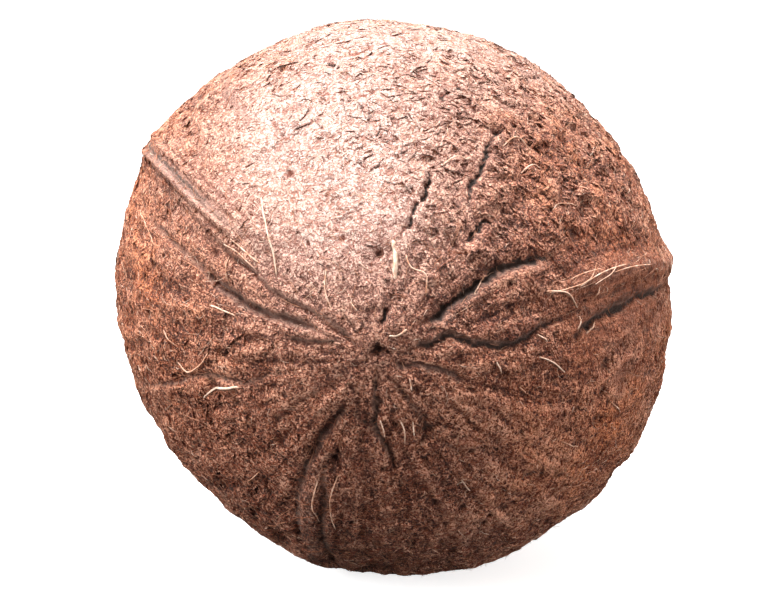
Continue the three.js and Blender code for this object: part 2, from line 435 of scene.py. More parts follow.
smooth_share = np.clip(furrow_band * 0.9 + seam_band + 0.4 * crack_line, 0, 1)
torn_share = (1 - smooth_share) * (1 - 0.6 * combed)
flaky = patches_of(FLAKY_AREA) - 0.5 * combed + 0.5 * hump(theta - STEM_END_THETA, 0.6)
flaky = np.clip(flaky + 0.25 * scattered(mat_points, 30, 2, 5.0), 0.08, 1.1)
large_flakes = shingles(mat_points, LARGE_SIZE, 0.9, 0.55)
small_flakes = shingles(mat_points, SMALL_SIZE, 1.6, 0.5)
grain = scattered(mat_points, GRAIN_SIZE, 3, 1.0)
swell = scattered(mat_points, SWELL_SIZE, 4, 2.0)
pits = np.clip((scattered(mat_points, PIT_SIZE, 2, 3.0) - 0.52) / 0.2, 0, 1)
rib_points = np.stack([np.cos(phi), np.sin(phi), theta * 0.5], axis=1)
rib_share = np.clip((theta - 0.03) / 0.14, 0, 1) * (1 - 0.8 * pale_highlight) * np.clip((2.4 - theta) / 1.2, 0.2, 1)
ribs = scattered(rib_points, RIB_WIDTH, 3, 6.0) * rib_share
flakes = LARGE_HEIGHT * large_flakes + SMALL_HEIGHT * small_flakes
unevenness = flakes * flaky + GRAIN_HEIGHT * grain + SWELL_HEIGHT * swell
pitting = PIT_DEPTH * pits * (1 - 0.7 * pale_highlight)
torn_relief = (unevenness * (1 - 0.5 * pale_highlight) + RIB_HEIGHT * ribs - pitting) * torn_share
smooth_relief = (0.07 * grain + 0.25 * swell) * smooth_share
print("torn relief, mm:", torn_relief.min().round(2), "to", torn_relief.max().round(2))

# %% [markdown]
# ## Holes that are big enough to notice
# A few plugs of fibre came out whole. There is a small hole at the apex itself, and at the stem end
# the shell has its three eyes, which are soft round dimples with a low rim.

# %% Pits and eyes
PLUGS = [  # depth and radius in millimetres, and the place
    (1.8, 0.7, (0.6, 60)),
    (1.3, 0.8, (17, 88)),
    (1.0, 0.7, (21, 107)),
    (1.3, 1.5, (17, 301)),
    (1.2, 1.3, (48, 345)),
    (1.2, 1.4, (23, 250)),
    (0.9, 0.7, (37, 118)),
    (1.2, 1.2, (30, 184)),
    (1.2, 1.6, (34, 196)),
    (1.1, 1.5, (47, 352)),
    (1.0, 1.8, (45, 28)),
    (1.2, 1.6, (43, 305)),
]
EYE_THETA = 166
EYE_PHIS = (78, 200, 319)
EYE_RADIUS = 5.0
EYE_DEPTH = 1.8


def reach_from(theta_degrees, phi_degrees):
    """How far each point is from a place, in millimetres over the nut."""
    return np.linalg.norm(directions - direction_to(theta_degrees, phi_degrees), axis=1) * HALF_WIDTH


plug_relief = np.zeros(len(directions))
plug_hole = np.zeros(len(directions))
for depth, radius, place in PLUGS:
    reach = reach_from(*place) * (1 + 0.8 * wobble)
    plug_relief -= depth * hump(reach, radius)
    # the hole is painted dark as shade in the finish
    plug_hole = np.maximum(plug_hole, 0.45 * hump(reach, 0.9 * radius))
for eye_phi in EYE_PHIS:
    reach = reach_from(EYE_THETA, eye_phi)
    rim = 0.8 * hump(reach - 1.25 * EYE_RADIUS, 1.4)
    plug_relief += rim - EYE_DEPTH * hump(reach, EYE_RADIUS)
print("deepest hole, mm:", plug_relief.min().round(2))

# %% [markdown]
# ## Setting the nut down
# The whole surface is the form plus everything above. It is moved so that its middle is over the
# origin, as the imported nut's is, and what would lie below the surface that it rests on is pressed flat.

# %% Put the surface together
relief = seam_relief + furrow_relief + crack_relief + torn_relief + smooth_relief + plug_relief
OVERALL_SINK = 0.4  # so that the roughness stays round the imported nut's surface
radius = form + relief - OVERALL_SINK
bare_form = directions * (form + seam_relief)[:, None]
form_middle = (bare_form.min(axis=0) + bare_form.max(axis=0)) / 2
box_middle = np.array((cad_low + cad_high) / 2) / MM
nut_middle = np.array([box_middle[0] - form_middle[0], box_middle[1] - form_middle[1], AXIS_HEIGHT])
places = nut_middle + directions * radius[:, None]
places[:, 2] = np.maximum(places[:, 2], 0)
put_points(shell.data, places * MM)
print("nut's middle, mm:", nut_middle.round(2))

# %% [markdown]
# ## What the finish needs to know
# The colour follows the shape, so the masks that shaped the mesh are kept on it as attributes. Hollows
# are found by comparing each point with the average of its neighbourhood, and the finish darkens them as
# painted shade.

# %% Attributes for the finish
def neighbour_average(mesh, values, rounds):
    """Each point's value averaged with its neighbours', that many times."""
    ends = np.empty(len(mesh.edges) * 2, np.int64)
    mesh.edges.foreach_get("vertices", ends)
    a, b = ends[0::2], ends[1::2]
    counts = np.bincount(a, minlength=len(values)) + np.bincount(b, minlength=len(values)) + 1
    for _ in range(rounds):
        totals = np.bincount(a, values[b], len(values)) + np.bincount(b, values[a], len(values))
        values = (values + totals) / counts
    return values


def keep(mesh, name, values):
    """Stores one number for each point of the mesh."""
    mesh.attributes.new(name, "FLOAT", "POINT").data.foreach_set("value", values.astype(np.float32))


def keep_run(mesh, theta, phi):
    """Stores where each point is, drawn out along the nut so that noise of it becomes streaks."""
    run = np.stack([np.cos(phi), np.sin(phi), theta * RUN_SHARE], axis=-1).astype(np.float32)
    mesh.attributes.new("fibre_run", "FLOAT_VECTOR", "POINT").data.foreach_set("vector", run.ravel())


SEAM_REACH = 10  # millimetres
RUN_SHARE = 0.22  # streaks are about five times as long as they are wide
cavity = neighbour_average(shell.data, radius, 3) - radius
# Of these masks, the hollows, the furrow bottoms and the cracks carry painted shade, the pale top carries a
# painted highlight, and the dark areas hold darker patches and painted shade underneath.
MASKS = {
    "cavity": cavity,  # millimetres below the neighbourhood
    "furrow": np.clip(furrow_band, 0, 1),
    "furrow_shade_line": np.clip(furrow_shade_line + 0.8 * seam_shade_line, 0, 1),
    "seam": np.clip(seam_band, 0, 1),
    "seam_across": np.clip(seam_across, -SEAM_REACH, SEAM_REACH),
    "crack": np.clip(crack_line + plug_hole, 0, 1),
    "pale_highlight": pale_highlight,
    "warm": warm,
    "dark_and_shade": dark_and_shade,
    "combed": combed,
    "paler": ribs + 0.8 * bleached,  # ridges are rubbed paler
}
for name, values in MASKS.items():
    keep(shell.data, name, values)
keep_run(shell.data, theta, phi)
print("cavity, mm:", cavity.min().round(2), "to", cavity.max().round(2))

# %% [markdown]
# ## The finish
# A material is a small program made of nodes. These helpers make it short to write one.

# %% Helpers for node trees
def new_finish(name):
    """A material with only its Principled shader, and its tree."""
    material = bpy.data.materials.new(name)
    material.use_nodes = True
    return material, material.node_tree, material.node_tree.nodes["Principled BSDF"]


def connect(tree, made, inputs):
    """Links each input to a socket, or sets it to a number or colour."""
    for name, value in dict(inputs).items():
        if isinstance(value, bpy.types.NodeSocket):
            tree.links.new(value, made.inputs[name])
        else:
            made.inputs[name].default_value = value


def node(tree, kind, inputs=(), **settings):
    """A new node with its settings and inputs."""
    made = tree.nodes.new(kind)
    for key, value in settings.items():
        setattr(made, key, value)
    connect(tree, made, inputs)
    return made


def attribute(tree, name, output="Fac"):
    return node(tree, "ShaderNodeAttribute", attribute_name=name).outputs[output]


def ramp(tree, factor, *stops):
    """A colour for each factor between stops, each a position and a colour or a grey."""
    made = node(tree, "ShaderNodeValToRGB", {"Fac": factor})
    points = made.color_ramp.elements
    while len(points) < len(stops):
        points.new(0.5)
    for point, (position, colour) in zip(points, stops):
        point.position = position
        point.color = (*colour, 1) if isinstance(colour, tuple) else (colour, colour, colour, 1)
    return made.outputs["Color"]


def blend(tree, factor, under, over, how="MIX"):
    """Two colours mixed by a factor."""
    under, over = [(*colour, 1) if isinstance(colour, tuple) else colour for colour in (under, over)]
    inputs = {0: factor, 6: under, 7: over}
    return node(tree, "ShaderNodeMix", inputs, data_type="RGBA", blend_type=how).outputs[2]


def maths(tree, operation, *values):
    """One sum with numbers or sockets."""
    return node(tree, "ShaderNodeMath", enumerate(values), operation=operation).outputs[0]


def total_of(tree, *parts):
    """The total of numbers, each times its share."""
    total = 0.0
    for value, share in parts:
        total = maths(tree, "MULTIPLY_ADD", value, share, total)
    return total


def grains(tree, where, size, detail=3.0, roughness=0.6, distortion=0.0, kind="FBM"):
    """Noise whose largest grain has that size in millimetres."""
    inputs = {"Vector": where, "Scale": 1 / (size * MM), "Detail": detail, "Roughness": roughness}
    inputs["Distortion"] = distortion
    return node(tree, "ShaderNodeTexNoise", inputs, noise_type=kind).outputs["Fac"]


def streaks(tree, frequency, detail, roughness, distortion=0.0):
    """Noise that is drawn out along the nut."""
    inputs = {"Vector": attribute(tree, "fibre_run", "Vector"), "Scale": frequency, "Detail": detail}
    inputs["Roughness"] = roughness
    inputs["Distortion"] = distortion
    return node(tree, "ShaderNodeTexNoise", inputs).outputs["Fac"]


DRY_FIBRE = {  # the faint sheen of dry fibre
    "Specular IOR Level": 0.3,
    "Sheen Weight": 0.12,
    "Sheen Roughness": 0.5,
    "Sheen Tint": (1.0, 0.86, 0.76, 1),
}

# %% [markdown]
# ## Coir and shell
# The mat of coir is a felt of short, curly, reddish fibres. Seen close it is speckled: dark red gaps,
# brown fibres and pale, pinkish tips, all under a millimetre. The dark of the gaps is partly painted
# shade and the pale of the tips partly painted highlight, on the same noise that makes the bump. Torn
# edges have short dark red lines of painted shadow, and over that lie slow changes of colour. Where a
# strand pressed a furrow, the bare shell shows: smooth, grey-brown and streaked lengthwise.

# %% Colours of coir and shell
# The gap colours are partly painted shade, and the tip colours partly painted highlight.
GAP_SHADE = (0.05, 0.01, 0.006)
RED_BROWN = (0.27, 0.076, 0.036)
MID_BROWN = (0.45, 0.16, 0.086)
PINK_TIP_AND_HIGHLIGHT = (0.78, 0.425, 0.295)
# Under the painted highlight on top, the felt takes these paler colours.
HIGHLIGHT_GAP = (0.43, 0.215, 0.17)
HIGHLIGHT_MID = (0.56, 0.36, 0.305)
HIGHLIGHT_TIP = (0.73, 0.58, 0.53)
TEAR_SHADOW_RED = (0.21, 0.048, 0.024)  # painted shadow under the torn edges of the mat
COMBED_DARK = (0.085, 0.03, 0.018)
ORANGE = (1.0, 0.66, 0.42)  # multiplies the felt where it is warm
DARK_PATCH_AND_SHADE = (0.62, 0.52, 0.5)  # multiplies the felt where it has darker patches, and underneath as painted shade
GREY_SHELL = (0.12, 0.078, 0.064)
# streaks of the bare shell, and the painted shade in the furrows' bottoms
DEEP_GREY_AND_SHADE = (0.03, 0.017, 0.013)
LILAC_SHELL = (0.38, 0.245, 0.205)
# painted shade in the cracks and the holes
CRACK_SHADE = (0.012, 0.006, 0.004)

# %% [markdown]
# The speckle is noise with a grain of half a millimetre and some needles along the nut. A tear is where
# a slower noise crosses its middle, and that noise also makes a low step there. The tear's dark red line
# is painted shadow under the edge.

# %% The felt's speckle and its tears
def speckle(tree, where):
    """The finest noise of the mat, about 0.5."""
    round_grains = grains(tree, where, 0.5, 2, 0.68, 0.8)
    needles = streaks(tree, 90.0, 3.0, 0.6, 0.8)
    return total_of(tree, (round_grains, 0.76), (needles, 0.24))


def felt_colour(tree, felt, clumps):
    """Dark gaps, brown fibres and pale tips: the gaps partly painted shade, the tips partly painted
    highlight, and all paler under the painted highlight on top.
    """
    level = total_of(tree, (felt, 0.89), (clumps, 0.11), (attribute(tree, "paler"), 0.05))
    brown = ramp(tree, level, (0.45, GAP_SHADE), (0.482, RED_BROWN), (0.52, MID_BROWN), (0.562, PINK_TIP_AND_HIGHLIGHT))
    highlight_pink = ramp(tree, level, (0.44, HIGHLIGHT_GAP), (0.485, HIGHLIGHT_MID), (0.56, HIGHLIGHT_TIP))
    return blend(tree, attribute(tree, "pale_highlight"), brown, highlight_pink)


def tears(tree, where):
    """Where the painted shadow of a tear lies, and the step that a tear makes."""
    edge = grains(tree, where, 2.4, 3, 0.62, 1.2)
    distance = maths(tree, "ABSOLUTE", maths(tree, "SUBTRACT", edge, 0.5))
    line = ramp(tree, distance, (0.012, 1.0), (0.034, 0.0))
    where_torn = ramp(tree, grains(tree, where, 2.9, 2, 0.6), (0.53, 0.0), (0.58, 1.0))
    step = ramp(tree, edge, (0.485, 0.0), (0.515, 1.0))
    return maths(tree, "MULTIPLY", line, where_torn), step


# %% [markdown]
# The slow changes follow the broad areas, broken up by patches. The crests of a ridged noise are single
# light fibres, and the hollows of the mesh are darkened as painted shade.

# %% The mat's slow changes
def toned(tree, where, mat, curls, long_streaks):
    """The mat's colour in patches, with light curls, combed fibres and painted shade in the hollows."""
    patches = grains(tree, where, 13.0, 3, 0.6)
    blotches = grains(tree, where, 5.0, 3, 0.6, 0.4)
    patch_warm = ramp(tree, patches, (0.4, 0.4), (0.62, 1.0))
    warm_share = maths(tree, "MULTIPLY", attribute(tree, "warm"), patch_warm)
    mat = blend(tree, warm_share, mat, ORANGE, "MULTIPLY")
    # darker patches of the mat, and underneath painted shade
    patch_dark = ramp(tree, maths(tree, "ADD", patches, blotches), (0.84, 1.0), (1.04, 0.25))
    dark_share = maths(tree, "MULTIPLY_ADD", attribute(tree, "dark_and_shade"), 0.75, 0.25)
    mat = blend(tree, maths(tree, "MULTIPLY", dark_share, patch_dark), mat, DARK_PATCH_AND_SHADE, "MULTIPLY")
    mat = blend(tree, ramp(tree, curls, (0.55, 0.0), (1.0, 0.45)), mat, PINK_TIP_AND_HIGHLIGHT)
    combed_brown = ramp(tree, long_streaks, (0.38, COMBED_DARK), (0.5, RED_BROWN), (0.64, MID_BROWN))
    combed_share = maths(tree, "MULTIPLY", attribute(tree, "combed"), 0.75)
    mat = blend(tree, combed_share, mat, combed_brown)
    # painted shade in the hollows, redder under the painted highlight on top
    hollow_shade = maths(tree, "MULTIPLY", attribute(tree, "cavity"), 2.4)
    hollow_shade_colour = blend(tree, attribute(tree, "pale_highlight"), GAP_SHADE, TEAR_SHADOW_RED)
    return blend(tree, ramp(tree, hollow_shade, (0.05, 0.0), (0.6, 0.85)), mat, hollow_shade_colour)


# %% [markdown]
# The bare shell is streaked grey in a furrow, and paler on a seam, with a line of shade in each pleat.
# The felt frays the edges of the furrows and cracks, so that they don't look drawn.

# %% The bare shell, furrows and cracks
def bare_colour(tree, long_streaks):
    """Streaked grey in the furrows and pleated lilac on the seams."""
    streaky = ramp(tree, long_streaks, (0.38, DEEP_GREY_AND_SHADE), (0.62, GREY_SHELL))
    pleat_waves = maths(tree, "SINE", maths(tree, "MULTIPLY", attribute(tree, "seam_across"), 5.5))
    pleated = total_of(tree, (long_streaks, 1.0), (pleat_waves, 0.12))
    pale_streaks = ramp(tree, pleated, (0.36, GREY_SHELL), (0.56, LILAC_SHELL))
    return blend(tree, attribute(tree, "seam"), streaky, pale_streaks)


def frayed(tree, mask, felt, start, end, most):
    """A mask from 0 to most between two levels, with its edge frayed by the felt."""
    fray = maths(tree, "MULTIPLY", maths(tree, "SUBTRACT", felt, 0.5), 1.4)
    return ramp(tree, maths(tree, "ADD", attribute(tree, mask), fray), (start, 0.0), (end, most))


# %% [markdown]
# The finish puts the layers over each other, from the mat to the cracks. The same noises make the fine
# relief, as bump, because it is far finer than the mesh. The bare shell gets hardly any.

# %% The whole finish
def coir_finish():
    material, tree, shader = new_finish("coir_and_shell")
    where = node(tree, "ShaderNodeTexCoord").outputs["Object"]
    felt = speckle(tree, where)
    clumps = grains(tree, where, 2.6, 3, 0.6, 0.5)
    curls = grains(tree, where, 1.5, 4, 0.62, 1.5, "RIDGED_MULTIFRACTAL")
    long_streaks = streaks(tree, 46.0, 4.0, 0.65)
    tear_shadow_line, large_step = tears(tree, where)
    small_step = ramp(tree, grains(tree, where, 1.3, 2, 0.6, 1.2), (0.48, 0.0), (0.52, 1.0))

    mat = felt_colour(tree, felt, clumps)
    # painted shadow along the tears
    mat = blend(tree, maths(tree, "MULTIPLY", tear_shadow_line, 0.85), mat, TEAR_SHADOW_RED)
    mat = toned(tree, where, mat, curls, long_streaks)
    furrow_share = frayed(tree, "furrow", felt, 0.32, 0.75, 0.75)
    seam_share = maths(tree, "MULTIPLY", attribute(tree, "seam"), 0.9)
    bare_share = maths(tree, "MAXIMUM", furrow_share, seam_share)
    surface = blend(tree, bare_share, mat, bare_colour(tree, long_streaks))
    # painted shade in the bottoms of the furrows and in the left seam's groove
    surface = blend(tree, frayed(tree, "furrow_shade_line", felt, 0.26, 0.46, 0.92), surface, DEEP_GREY_AND_SHADE)
    # painted shade in the cracks and the holes
    surface = blend(tree, frayed(tree, "crack", felt, 0.34, 0.64, 0.92), surface, CRACK_SHADE)

    layers = [(felt, 1.0), (curls, 0.3), (clumps, 0.8), (large_step, 0.4), (small_step, 0.25), (tear_shadow_line, -0.5)]
    rough_share = maths(tree, "MULTIPLY_ADD", bare_share, -0.85, 1.0)
    bump = {"Height": total_of(tree, *layers), "Strength": rough_share, "Distance": 0.9 * MM}
    normal = node(tree, "ShaderNodeBump", bump).outputs["Normal"]
    roughness = ramp(tree, bare_share, (0.0, 0.7), (1.0, 0.55))
    connect(tree, shader, {"Base Color": surface, "Normal": normal, "Roughness": roughness, **DRY_FIBRE})
    return material


COIR_FINISH = coir_finish()
shell.data.materials.append(COIR_FINISH)
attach(shell, "root")
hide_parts("coconut")

# %% [markdown]
# ## The finish of a fibre
# A fibre's tone says how pale it is, from the dark red of a wet one to the straw colour of a dry one.

# %% Fibre finish
def fibre_finish():
    material, tree, shader = new_finish("coir_fibre")
    tone_stops = (
        (0.0, (0.17, 0.034, 0.015)),
        (0.35, (0.3, 0.098, 0.05)),
        (0.65, (0.49, 0.225, 0.13)),
        (1.0, (0.74, 0.55, 0.43)),
    )
    where = node(tree, "ShaderNodeTexCoord").outputs["Object"]
    mottle = maths(tree, "SUBTRACT", grains(tree, where, 1.2, 2), 0.5)
    colour = ramp(tree, maths(tree, "ADD", attribute(tree, "tone"), mottle), *tone_stops)
    connect(tree, shader, {"Base Color": colour, "Roughness": 0.7, **DRY_FIBRE})
    return material


FIBRE_FINISH = fibre_finish()

# %% [markdown]
# ## The felt of coir
# Coir is made of fibres, tens of thousands of them, each curly and about as thick as a hair. A hair
# system isn't a mesh, so each fibre is written as points by code: a short walk over the shell, a little
# above it. It has three sides and pointed ends, because a shape that is repeated so often must be simple.

# %% Walks over the shell
chance = np.random.default_rng(7)
NUT = Vector(nut_middle * MM)
shell_tree = BVHTree.FromObject(shell, bpy.context.evaluated_depsgraph_get())
first_corner = np.empty(len(shell.data.polygons), np.int64)
shell.data.polygons.foreach_get("loop_start", first_corner)
corner_points = np.empty(len(shell.data.loops), np.int64)
shell.data.loops.foreach_get("vertex_index", corner_points)


def land(ways):
    """Where each way out of the nut's middle meets the shell: millimetres out, and a mesh point there."""
    hits = [shell_tree.ray_cast(NUT, way) for way in ways.reshape(-1, 3).tolist()]
    distance = np.array([hit[3] for hit in hits]) / MM
    point = corner_points[first_corner[np.array([hit[2] for hit in hits])]]
    return distance.reshape(ways.shape[:-1]), point.reshape(ways.shape[:-1])


def towards_apex(ways):
    """The unit vector over the ball from each way to the apex."""
    to_apex = np.array([0.0, -1.0, 0.0]) + ways * ways[..., 1:2]
    return to_apex / (np.linalg.norm(to_apex, axis=-1, keepdims=True) + 1e-6)


def walk(starts, heading, turn, length, count):
    """Ways along a walk over the nut from each start: a heading from the apex, and its turn per step."""
    ways = [starts]
    for step in range(count - 1):
        here = ways[-1]
        to_apex = towards_apex(here)
        sideways = np.cross(here, to_apex)
        angle = (heading + turn * step)[:, None]
        onward = np.cos(angle) * to_apex + np.sin(angle) * sideways
        ways.append(unit(here + onward * (length / (count - 1) / HALF_WIDTH)[:, None]))
    return np.stack(ways, axis=1)


CORNER_ANGLES = (0, 2 * math.pi / 3, 4 * math.pi / 3)
FLOOR_GAP = 0.12  # millimetres that every fibre keeps from what the nut lies on


def fibres(name, ways, lift, thickness, tone, flatness=1.0, tilt=0.0, finish=FIBRE_FINISH):
    """A mesh of three-sided fibres with pointed ends, along ways over the shell.

    Flatness is their height as a share of their width, and tilt lifts their right edge, in radians.
    """
    distance, _ = land(ways)
    spine = nut_middle + ways * (distance + lift)[..., None]
    spine[..., 2] = np.maximum(spine[..., 2], FLOOR_GAP)
    forward = unit(np.gradient(spine, axis=1) + 1e-9)
    side = unit(np.cross(forward, ways))
    over = np.cross(side, forward)
    side, over = side * np.cos(tilt) + over * np.sin(tilt), over * np.cos(tilt) - side * np.sin(tilt)
    over = over * flatness
    ring = [spine + (over * math.cos(a) + side * math.sin(a)) * thickness for a in CORNER_ANGLES]
    rings = np.stack(ring, axis=2)[:, 1:-1]
    count, rows = rings.shape[:2]
    size = 3 * rows + 2
    points = np.concatenate([spine[:, :1], rings.reshape(count, -1, 3), spine[:, -1:]], axis=1)
    one = []
    for corner in range(3):
        after = (corner + 1) % 3
        one.append((0, 1 + after, 1 + corner))
        for row in range(rows - 1):
            low, high = 1 + 3 * row, 4 + 3 * row
            one.append((low + corner, low + after, high + after, high + corner))
        one.append((size - 1, size - 4 + corner, size - 4 + after))
    faces = [tuple(size * i + corner for corner in face) for i in range(count) for face in one]
    mesh = bpy.data.meshes.new(name)
    mesh.from_pydata((points.reshape(-1, 3) * MM).tolist(), [], faces)
    keep(mesh, "tone", np.repeat(tone, size))
    mesh.materials.append(finish)
    mesh.shade_smooth()
    piece = bpy.data.objects.new(name, mesh)
    bpy.context.scene.collection.objects.link(piece)
    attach(piece, "root")
    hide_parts("coconut")
    return piece


# %% [markdown]
# ## The felt itself
# Each fibre lies roughly along the nut, with its ends in the mat. There are fewer on the pale top and in
# the furrows and cracks. A few are straw-coloured.

# %% The felt, in two pieces
FELT_PIECES = 2
FELT_FIBRES = 10400  # in each piece, under 200,000 triangles
FELT_POINTS = 5
FELT_ARCH = np.array([-0.1, 0.06, 0.12, 0.05, -0.1])  # millimetres over the shell along a fibre
STRAW_SHARE = 0.05
clear_of_fibres = np.clip(furrow_band + 0.8 * seam_band + crack_zone + plug_hole, 0, 1)
for number in range(FELT_PIECES):
    starts = unit(chance.normal(size=(2 * FELT_FIBRES, 3)))
    count = len(starts)
    heading = chance.normal(0, 0.8, count) + math.pi * chance.integers(0, 2, count)
    turn = chance.normal(0, 0.45, count)
    length = chance.gamma(3.5, 0.5, count) + 0.8
    ways = walk(starts, heading, turn, length, FELT_POINTS)
    _, at = land(ways)
    allowed = clear_of_fibres[at].max(axis=1) < chance.uniform(0.2, 1.2, count)
    allowed &= 0.6 * pale_highlight[at[:, 2]] < chance.random(count)
    ways, at = ways[allowed][:FELT_FIBRES], at[allowed][:FELT_FIBRES, 2]
    count = len(ways)
    lift = FELT_ARCH * chance.uniform(0.3, 1.5, count)[:, None]
    lift += chance.normal(0, 0.03, (count, FELT_POINTS))
    thickness = chance.uniform(0.03, 0.07, count)[:, None, None]
    # paler under the painted highlight on top, and darker in dark patches and in the painted shade
    # underneath
    tone = 0.46 + 0.28 * pale_highlight[at] - 0.20 * dark_and_shade[at] + chance.normal(0, 0.2, count)
    tone += 0.35 * (chance.random(count) < STRAW_SHARE)
    felt = fibres(f"coir_felt_{number + 1}", ways, lift, thickness, tone)
    print(felt.name, "fibres:", count, "faces:", len(felt.data.polygons))

# %% [markdown]
# ## Flakes
# The mat comes away in scraps. A scrap is made like a fibre, but wide and nearly flat, and it lies
# across the nut. It is tilted, so that its edge towards the apex stands up while the other is buried. A
# dark fibre lies just under the free edge as painted shadow. Large scraps lie where the mat is flaky and
# small ones all over.

# %% Flakes
SCRAP_ARCH = np.array([-0.12, 0.02, 0.08, 0.02, -0.12])  # millimetres over the shell along a scrap
SCRAP_FLATNESS = 0.18
WIDEST_SCRAP = 0.55  # half of its width, in millimetres
STEEPEST_SCRAP = 0.7  # the sine of its tilt
SCRAP_MASKS = ("pale_highlight", "warm", "dark_and_shade", "combed", "paler")


def scraps(name, count, size, share):
    """Tilted scraps of the mat, at most that many, and dark fibres of painted shadow under their free
    edges.
    """
    tries = 6 * count
    length = chance.gamma(3.0, size / 3, tries) + 0.5
    starts = unit(chance.normal(size=(tries, 3)))
    heading = chance.normal(math.pi / 2, 0.65, tries)
    ways = walk(starts, heading, chance.normal(0, 0.28, tries), length, FELT_POINTS)
    _, at = land(ways)
    allowed = clear_of_fibres[at].max(axis=1) < chance.uniform(0.2, 0.7, tries)
    allowed &= share[at[:, 2]] > chance.uniform(0.15, 1.3, tries)
    ways, at, length = ways[allowed][:count], at[allowed][:count, 2], length[allowed][:count]
    count = len(ways)
    lift = SCRAP_ARCH * chance.uniform(0.4, 1.5, count)[:, None]
    width = np.minimum(length * chance.uniform(0.12, 0.27, count), WIDEST_SCRAP)[:, None, None]
    free_edge = chance.uniform(0.08, 0.3, count)[:, None, None]  # millimetres that it stands up
    tilt = np.arcsin(np.clip(free_edge / width, 0, STEEPEST_SCRAP))
    made = fibres(name, ways, lift, width, np.zeros(count), SCRAP_FLATNESS, tilt, COIR_FINISH)
    points_each = len(made.data.vertices) // count
    # The scraps take the shell's masks, and with them its painted highlight and painted shade.
    for mask in SCRAP_MASKS:
        keep(made.data, mask, np.repeat(MASKS[mask][at], points_each))
    outward = unit(points_of(made.data) / MM - nut_middle)
    keep_run(made.data, np.arccos(-outward[:, 1]), np.arctan2(outward[:, 2], outward[:, 0]))
    # A thin dark fibre under each free edge is painted shadow.
    shadow_fibre_ways = unit(ways + towards_apex(ways) * (0.8 / HALF_WIDTH) * width)
    shadow_fibre_tone = chance.uniform(-0.1, 0.2, count) + 0.15 * pale_highlight[at]
    thickness = chance.uniform(0.04, 0.11, count)[:, None, None]
    edges = fibres(f"{name}_edges", shadow_fibre_ways, lift * 0.3, thickness, shadow_fibre_tone)
    print(name, "scraps:", count, "faces:", len(made.data.polygons) + len(edges.data.polygons))


scraps("large_flakes", 4500, 2.4, flaky - 0.55 * pale_highlight)
scraps("small_flakes", 10400, 0.9, np.clip(1.1 - 0.92 * pale_highlight, 0, 1))

# %% [markdown]
# ## Long fibres
# Beside the furrows and seams the mat was combed lengthwise, and single fibres can be followed for a
# centimetre. They wave a little, so they are walked in shorter steps. There are none at the apex.

# %% Long fibres
LONG_COUNT = 2400  # at most
LONG_POINTS = 10
starts = unit(chance.normal(size=(4 * LONG_COUNT, 3)))
count = len(starts)
heading = chance.normal(0, 0.25, count)
turn = chance.normal(0, 0.06, count)
ways = walk(starts, heading, turn, chance.uniform(4, 12, count), LONG_POINTS)
_, at = land(ways)
allowed = (clear_of_fibres[at].max(axis=1) < 0.8) & (0.3 + 0.7 * pale_highlight[at[:, 2]] < chance.random(count))
allowed &= theta[at[:, 2]] > chance.uniform(0.2, 0.9, count)
ways, at = ways[allowed][:LONG_COUNT], at[allowed][:LONG_COUNT, 2]
count = len(ways)
ripple = np.sin(np.linspace(0, 7, LONG_POINTS) + chance.uniform(0, 6, count)[:, None])
lift = 0.02 + 0.10 * ripple
lift[:, [0, -1]] = -0.1
thickness = chance.uniform(0.04, 0.08, count)[:, None, None]
# darker in dark patches and in the painted shade underneath
tone = 0.58 - 0.20 * dark_and_shade[at] + chance.normal(0, 0.15, count)
long_fibres = fibres("long_fibres", ways, lift, thickness, tone)
print(long_fibres.name, "fibres:", count)

# %% [markdown]
# ## Stray hairs
# Short fibres were pulled up by one end when the husk came off, and show at the nut's outline.

# %% Stray hairs
HAIR_COUNT = 1500
HAIR_POINTS = 5
starts = unit(chance.normal(size=(HAIR_COUNT, 3)))
turn = chance.normal(0, 0.25, HAIR_COUNT)
heading = chance.normal(0, 1.2, HAIR_COUNT)
ways = walk(starts, heading, turn, chance.uniform(1.0, 3.0, HAIR_COUNT), HAIR_POINTS)
rise = np.linspace(0, 1, HAIR_POINTS) ** 1.5
lift = rise * chance.gamma(2.0, 0.35, HAIR_COUNT)[:, None] - 0.05
thickness = chance.uniform(0.03, 0.06, HAIR_COUNT)[:, None, None]
hairs = fibres("stray_hairs", ways, lift, thickness, chance.normal(0.5, 0.2, HAIR_COUNT))
print(hairs.name, "hairs:", HAIR_COUNT)

# %% [markdown]
# ## Strands that stand out
# A few thick, straw-coloured strands were left behind when the husk came off. Some lie along the right
# seam and some stand off the shell. Each entry is its thickness and its height over the shell at its
# middle, in millimetres, and the places that it passes.

